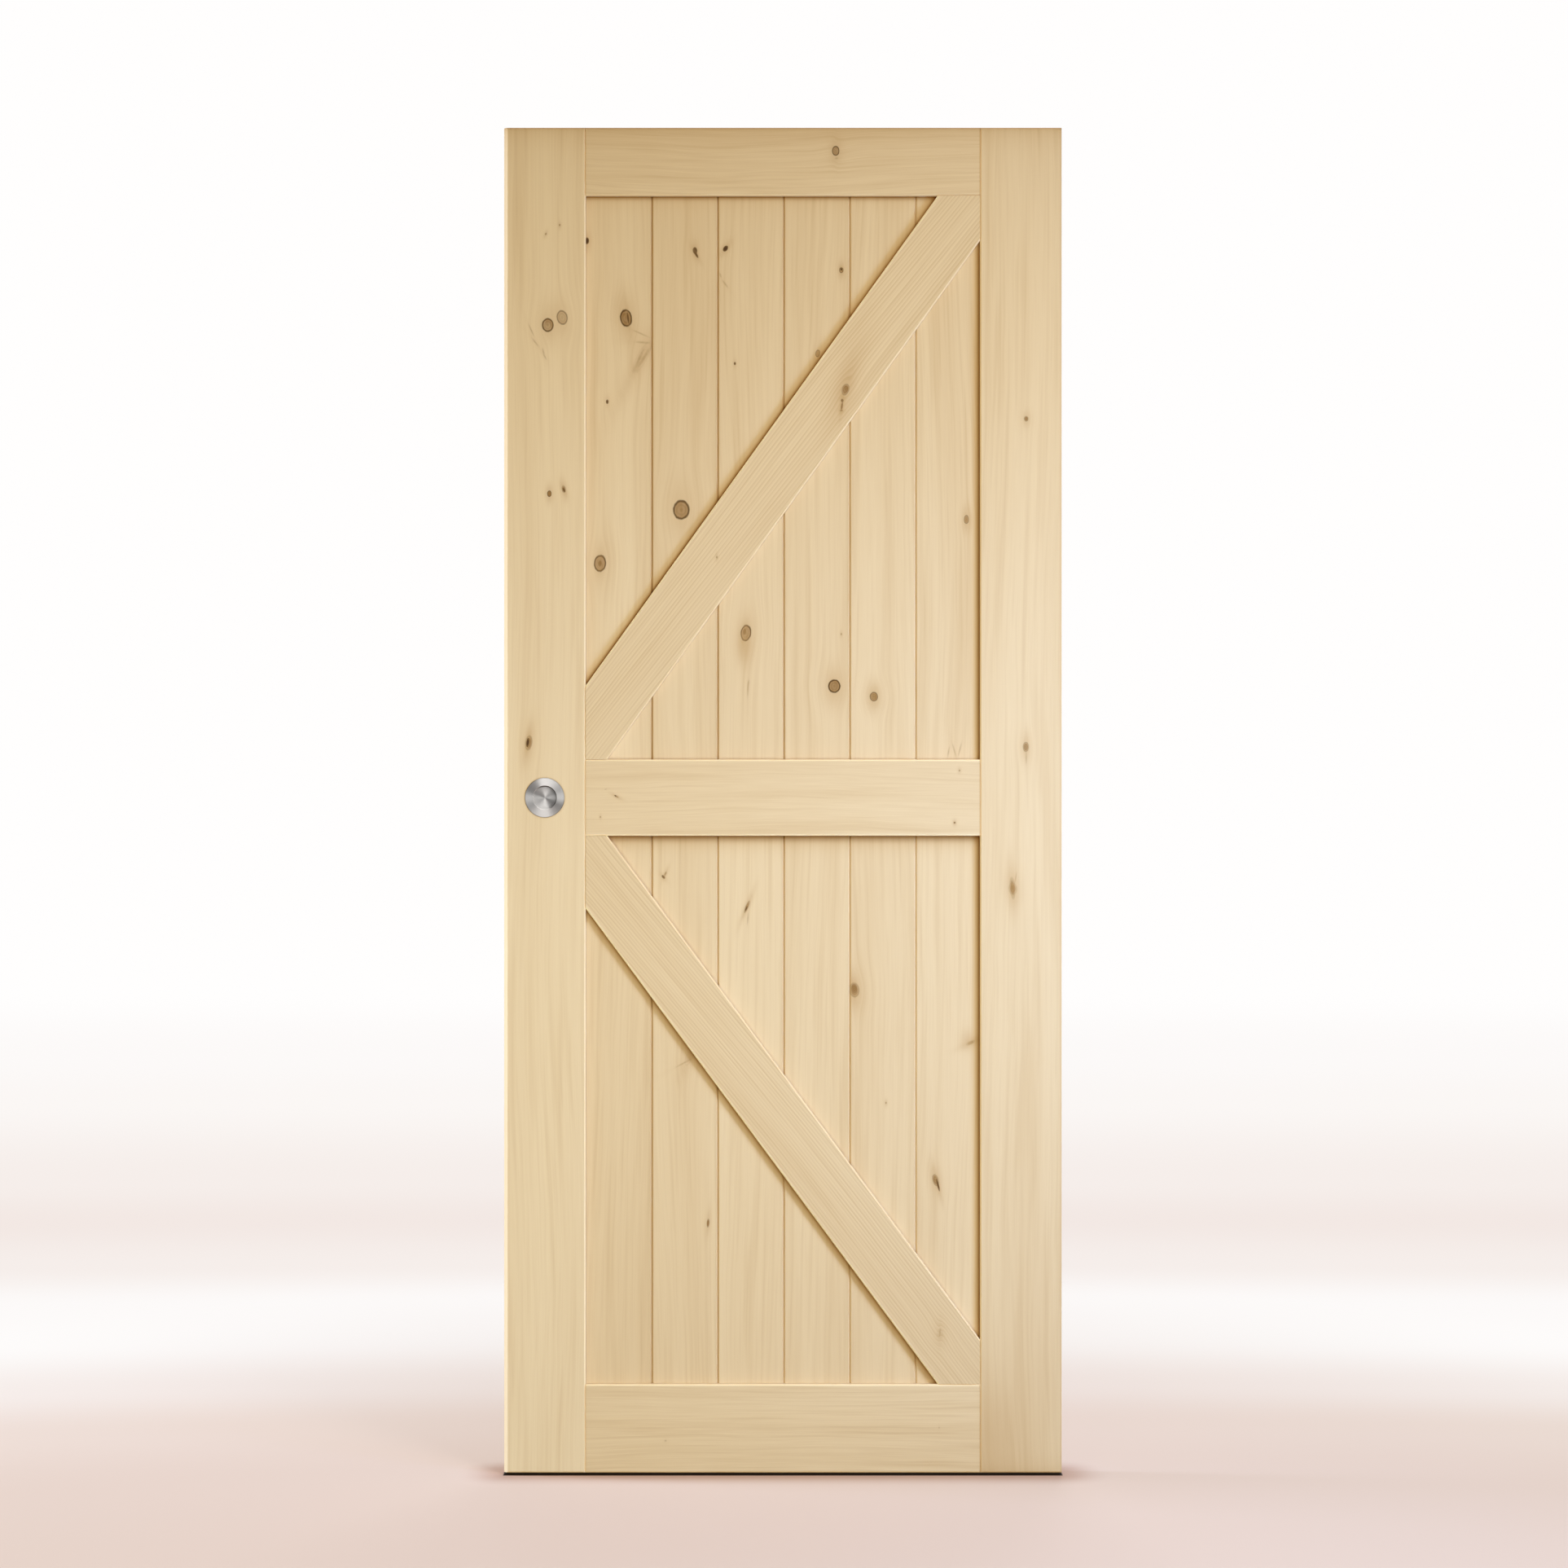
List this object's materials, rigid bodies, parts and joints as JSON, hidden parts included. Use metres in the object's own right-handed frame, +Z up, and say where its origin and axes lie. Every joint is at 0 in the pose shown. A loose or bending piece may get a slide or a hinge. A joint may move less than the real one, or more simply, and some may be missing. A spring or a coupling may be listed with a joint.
{
  "type": "barn door",
  "caption": "Sliding barn door leaf in pale knotty pine: flush stiles and rails, K-shaped diagonal braces over V-jointed planks, round steel flush pull.",
  "frame": {"origin": "middle of the top edge, where the leaf hangs from its track", "axes": "+Z up, +X towards the right-hand stile, -Y out of the front face"},
  "size_m": [0.885, 0.0386, 2.134],
  "materials": {
    "frame_pine": "planed, unfinished",
    "brace_pine": "planed, unfinished",
    "plank_pine": "planed, unfinished",
    "brushed_steel": "circular brushed"
  },
  "bodies": {
    "root": {"left_stile": "frame_pine", "right_stile": "frame_pine", "top_rail": "frame_pine", "middle_rail": "frame_pine", "bottom_rail": "frame_pine", "front_upper_brace": "brace_pine", "front_lower_brace": "brace_pine", "back_upper_brace": "brace_pine", "back_lower_brace": "brace_pine", "upper_plank_1": "plank_pine", "upper_plank_2": "plank_pine", "upper_plank_3": "plank_pine", "upper_plank_4": "plank_pine", "upper_plank_5": "plank_pine", "upper_plank_6": "plank_pine", "lower_plank_1": "plank_pine", "lower_plank_2": "plank_pine", "lower_plank_3": "plank_pine", "lower_plank_4": "plank_pine", "lower_plank_5": "plank_pine", "lower_plank_6": "plank_pine", "front_pull": "brushed_steel", "back_pull": "brushed_steel"}
  },
  "joints": []
}
